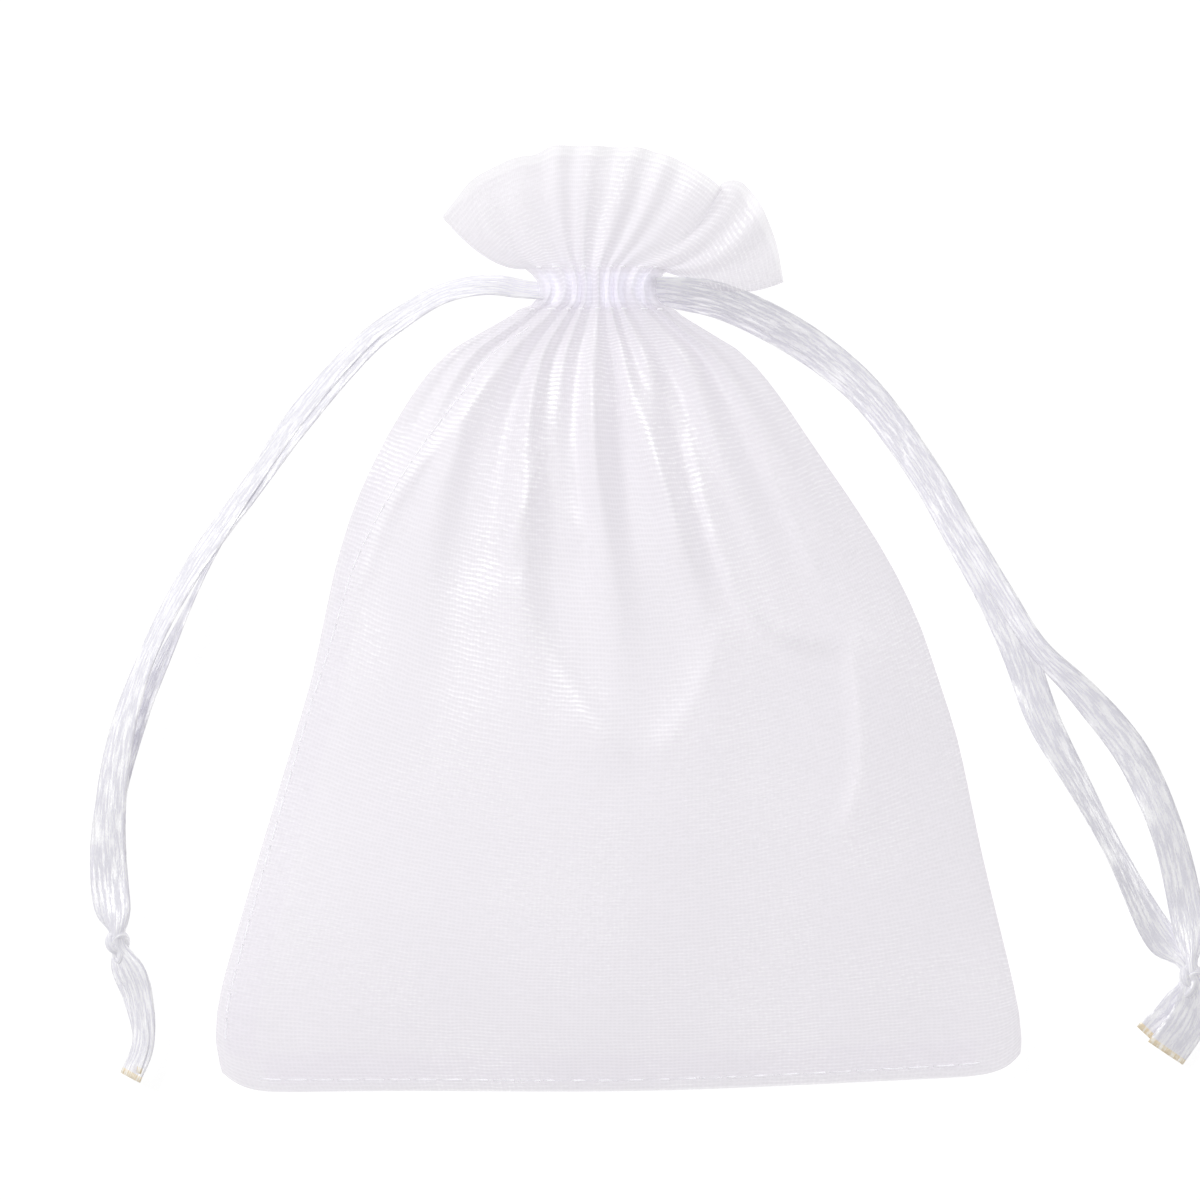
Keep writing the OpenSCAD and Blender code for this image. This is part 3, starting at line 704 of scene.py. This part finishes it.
def smoothed_edge():
    """RUFFLE_EDGE at every column of the cloth, with its corners rounded: x, y and height."""
    edge = np.array(RUFFLE_EDGE)
    span = 9
    soft = np.ones(span) / span
    columns = []
    for k in (1, 2, 3):
        values = np.interp(part_across, edge[:, 0], edge[:, k])
        columns.append(np.convolve(np.pad(values, span // 2, mode="edge"), soft, "valid"))
    return columns


def ruffle_rows(base, phase, front):
    """The cloth above the casing: it leaves the neck in pleats that spread into a fan."""
    tip_x, tip_y, tip_height = smoothed_edge()
    tip = np.stack([tip_x, tip_y], 1)
    inner = inside_edges(part_across, 0.1)[:, None]
    if not front:
        # The back's edge stays a little inside the front's
        middle = np.array([NECK_X, CASING_HIGH])
        tip = mix(tip, middle + (tip - middle) * 0.965, inner)
    start = base[:, :2]
    # Each thread leaves the neck in its own direction: level to the left at one side edge, through
    # straight up, to right and down at the other
    angle = np.radians(mix(184.0, -38.0, part_across))
    bend = mix(3.2, 5.5, part_across)[:, None] * np.stack([np.cos(angle), np.sin(angle)], 1)
    low_pleat = FRONT_PLEAT if front else BACK_PLEAT
    high_pleat = FRONT_RUFFLE_PLEAT if front else BACK_RUFFLE_PLEAT
    uneven = 0.75 + 0.4 * np.sin(13 * part_across + 2)
    rows = []
    for r in np.linspace(0, 1, RUFFLE_ROWS)[1:]:
        flat = (1 - r) ** 2 * start + 2 * r * (1 - r) * (start + bend) + r ** 2 * tip
        lap = tip_height * smooth_step(np.array((r - 0.25) / 0.6)) * (1 if front else -0.5)
        spread = phase + 1.4 * r * np.sin(7 * part_across + (1 if front else 3))
        height = mix(low_pleat, high_pleat, r) * uneven
        pleats = height * np.cos(spread) * inside_edges(part_across, PLAIN_EDGE)
        z = rim_z(flat[:, 1], front) + hump(front) + pleats + lap * inner[:, 0]
        rows.append(np.column_stack([flat, np.maximum(z, 0.2)]))
    return rows


def cloth_shape(front, seed):
    phase = pleat_phase(seed)
    x, y = body_grid()
    z = body_z(x, y, phase, front, seed)
    rows = [np.column_stack([x[j], y[j], z[j]]) for j in range(BODY_ROWS)]
    for j in range(1, CASING_ROWS):
        level = CASING_LOW + CASING_L * j / (CASING_ROWS - 1)
        height = rim_z(level, front) + neck_z(phase, front)
        level_x = NECK_X + (part_across - 0.5) * casing_width(level)
        rows.append(np.column_stack([level_x, np.full(COLS, level), height]))
    rows += ruffle_rows(rows[-1], phase, front)
    return np.array(rows), phase


def cloth_piece(name, shape, material, rows, cols=slice(None), crease=None):
    part = shape[rows, cols]
    count_up, count_across = part.shape[:2]
    uv = np.stack(np.meshgrid(part_across[cols] * CLOTH_W, along_cloth[rows]), 2).reshape(-1, 2)
    return new_mesh(name, part.reshape(-1, 3), grid_faces(count_up, count_across), material, uv, crease)


def side_web(name, front_shape, back_shape, rows, col):
    """The strip that joins the front's edge to the back's."""
    upper = front_shape[rows, col]
    lower = back_shape[rows, col]
    steps = np.linspace(0, 1, 5)
    points = np.stack([mix(lower, upper, s) for s in steps], 1)
    uv = np.stack(np.meshgrid(steps * 2, along_cloth[rows]), 2).reshape(-1, 2)
    web = new_mesh(name, points.reshape(-1, 3), grid_faces(len(upper), len(steps)), ORGANZA, uv)
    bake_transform(web)
    return web


def threads(name, lines, radius):
    """One mesh of short round threads, each along its own line."""
    sides = 6
    angle = np.linspace(0, 2 * math.pi, sides, endpoint=False)
    points, faces = [], []
    for line in lines:
        line = np.asarray(line, float)
        way = np.gradient(line, axis=0)
        way /= np.linalg.norm(way, axis=1)[:, None]
        side = np.cross(way, (0, 0, 1))
        side /= np.linalg.norm(side, axis=1)[:, None]
        up = np.cross(side, way)
        ring = (line[:, None] + side[:, None] * (np.cos(angle) * radius)[None, :, None]
                + up[:, None] * (np.sin(angle) * radius)[None, :, None])
        first = len(points)
        points.extend(ring.reshape(-1, 3))
        for face in grid_faces(len(line), sides, closed=True):
            faces.append(tuple(first + k for k in face))
        faces.append(tuple(first + k for k in range(sides)))
        faces.append(tuple(first + (len(line) - 1) * sides + sides - 1 - k for k in range(sides)))
    piece = new_mesh(name, points, faces, YARN)
    return piece


def stitches_on(shape, route):
    """Short lines that lie on the cloth along a route of x and y."""
    body = shape[:BODY_ROWS].reshape(-1, 3)
    count = int(line_length(route) / STITCH_PITCH)
    lines = []
    for k in range(count):
        parts = (np.linspace(0, STITCH_L, 5) + k * STITCH_PITCH) / (count * STITCH_PITCH)
        flat = resample(route, np.minimum(parts, 1))
        near = [np.argsort(np.hypot(body[:, 0] - x, body[:, 1] - y))[:4] for x, y in flat]
        z = np.array([body[index, 2].mean() for index in near])
        lines.append(np.column_stack([flat, z + STITCH_LIFT]))
    return lines


def crest_stitches(row, phase, up):
    """A stitch over the outer side of each pleat in one row of the cloth."""
    outer = np.cos(phase) * up > 0.45
    lines, current = [], []
    for k in range(COLS):
        if outer[k]:
            current.append(row[k] + np.array([0, 0, CREST_LIFT * up]))
        elif current:
            if len(current) > 3:
                lines.append(current)
            current = []
    return lines


def add_casing_layers(side, body, shape, phase, up):
    """The two ribbons' runs and the facing, inside the pleats of the casing, and its stitching.
    up is 1 on the front and -1 on the back."""
    margin = 8
    cols = slice(margin, COLS - margin)
    rows = slice(LOW_ROW + 1, HIGH_ROW)
    runs = []
    for which, depth in RUN_DEPTHS.items():
        part = shape[rows, cols] - np.array([0, 0, depth * up])
        count_up, count_across = part.shape[:2]
        half = RIBBON_W / 2
        y_uv, x_uv = np.meshgrid(np.linspace(-half, half, count_up), part_across[cols] * CLOTH_W,
                                 indexing="ij")
        uv = np.stack([y_uv, x_uv], 2).reshape(-1, 2)
        run = new_mesh(f"{which}_run_in_{side}_casing", part.reshape(-1, 3),
                       grid_faces(count_up, count_across), SATIN_INSIDE, uv)
        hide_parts(f"{which}_ribbon_{side}_run")
        runs.append(run)
    facing = cloth_piece(f"{side}_facing", shape - np.array([0, 0, FACING_DEPTH * up]), HEM,
                         slice(LOW_ROW, HIGH_ROW + 1), cols)
    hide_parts(f"{side}_hem_facing")
    pieces = runs + [facing]
    for row, where in ((LOW_ROW, "lower"), (HIGH_ROW, "upper")):
        stitching = threads(f"{side}_{where}_stitches", crest_stitches(shape[row], phase, up),
                            CASING_THREAD_R)
        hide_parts(f"{side}_casing_{where}_stitching")
        pieces.append(stitching)
    for piece in pieces:
        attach(piece, body)


def follow_front(piece):
    """Bakes the piece's placement into its mesh."""
    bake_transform(piece)


def add_seams(front_shape, back_shape):
    """Seam allowances inside the pouch, and the stitches that show along its edges."""
    seam_y = np.linspace(SEAM_Y[0], SEAM_TOP_Y, 50)
    inset = np.interp(seam_y, SEAM_Y, SEAM_INSET)
    side_route = np.column_stack([np.interp(seam_y, OUT_Y, OUT_LEFT) + inset, seam_y])
    side = threads("side_seam_stitches", stitches_on(front_shape, side_route), SEAM_THREAD_R)
    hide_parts("side_seam_stitching")
    bottom_route = front_shape[1, 8:-8:4, :2] + np.array([0, 0.4])
    bottom = threads("bottom_seam_stitches", stitches_on(front_shape, bottom_route), SEAM_THREAD_R)
    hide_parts("bottom_seam_stitching")
    inside = back_shape + np.array([0, 0, ALLOWANCE_LIFT])
    edge_y = back_shape[:BODY_ROWS, 0, 1]
    rows = slice(*np.searchsorted(edge_y, (ALLOWANCE_LOW_Y, ALLOWANCE_HIGH_Y)).tolist())
    side_allowance = cloth_piece("side_allowance", inside, HEM, rows, slice(2, 10))
    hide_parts("side_seam_allowance")
    bottom_allowance = cloth_piece("bottom_allowance", inside, HEM, slice(1, 6), slice(10, COLS - 10))
    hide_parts("bottom_seam_allowance")
    follow_front(side)
    for piece in (bottom, side_allowance, bottom_allowance):
        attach(piece, "pouch")


def add_pouch():
    front_shape, front_phase = cloth_shape(True, 0.35)
    back_shape, back_phase = cloth_shape(False, 0.8)
    crease = sum(fold_shape(front_shape[..., 0], front_shape[..., 1], *fold)[1] for fold in FOLDS)
    crease = np.minimum(crease, 1).ravel()
    front = cloth_piece("front_cloth", front_shape, ORGANZA, slice(None), crease=crease)
    back = cloth_piece("back_cloth", back_shape, ORGANZA, slice(None))
    follow_front(front)
    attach(back, "pouch")
    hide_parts("front_panel", "front_neck", "front_ruffle")
    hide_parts("back_panel", "back_neck", "back_ruffle")
    add_casing_layers("front", "mouth_front", front_shape, front_phase, 1)
    add_casing_layers("back", "pouch", back_shape, back_phase, -1)
    add_seams(front_shape, back_shape)
    parted = int(np.searchsorted(front_shape[:BODY_ROWS, 0, 1], PARTING_Y))
    for col, side in ((0, "left"), (COLS - 1, "right")):
        side_web(f"{side}_shoulder_web", front_shape, back_shape, slice(parted, LOW_ROW), col)
        side_web(f"{side}_ruffle_web", front_shape, back_shape, slice(HIGH_ROW, ROWS), col)


add_pouch()


# ---------------------------------------------------------------- studio

FLOOR_GLOW = 0.78        # with the key light this makes the floor white, as in the photo
SKY_STRENGTH = 0.58
KEY_POWER = 2.4


def add_floor():
    n = Nodes("studio_floor")
    place = n.add("ShaderNodeTexCoord").outputs["Object"]
    grain = n.add("ShaderNodeTexNoise", {"Vector": place, "Scale": 40.0, "Detail": 2.0}).outputs["Fac"]
    base = n.mix_colour(grain, (0.34, 0.34, 0.34, 1), (0.36, 0.36, 0.36, 1))
    paper = n.add("ShaderNodeBsdfDiffuse", {"Color": base})
    light = n.add("ShaderNodeEmission", {"Color": WHITE, "Strength": FLOOR_GLOW})
    both = n.add("ShaderNodeAddShader", {0: paper.outputs[0], 1: light.outputs[0]})
    out = n.add("ShaderNodeOutputMaterial")
    n.tree.links.new(both.outputs[0], out.inputs["Surface"])
    half = 900.0
    level = -0.02
    corners = [(-half, -half, level), (half, -half, level), (half, half, level), (-half, half, level)]
    new_mesh("studio_floor", corners, [(0, 1, 2, 3)], n.material)


def add_key_light():
    """One soft light from the upper left, aimed at the pouch."""
    data = bpy.data.lights.new("key", "AREA")
    data.shape = "DISK"
    data.size = 0.32
    data.energy = KEY_POWER
    lamp = bpy.data.objects.new("key", data)
    lamp.location = (-0.45, 0.4, 0.5)
    lamp.rotation_euler = (-lamp.location).to_track_quat("-Z", "Y").to_euler()
    bpy.context.scene.collection.objects.link(lamp)


def add_studio():
    add_floor()
    world = bpy.data.worlds.new("studio")
    world.use_nodes = True
    sky = world.node_tree.nodes["Background"]
    sky.inputs["Color"].default_value = WHITE
    sky.inputs["Strength"].default_value = SKY_STRENGTH
    scene = bpy.context.scene
    scene.world = world
    scene.view_settings.view_transform = "Standard"
    add_key_light()


add_studio()

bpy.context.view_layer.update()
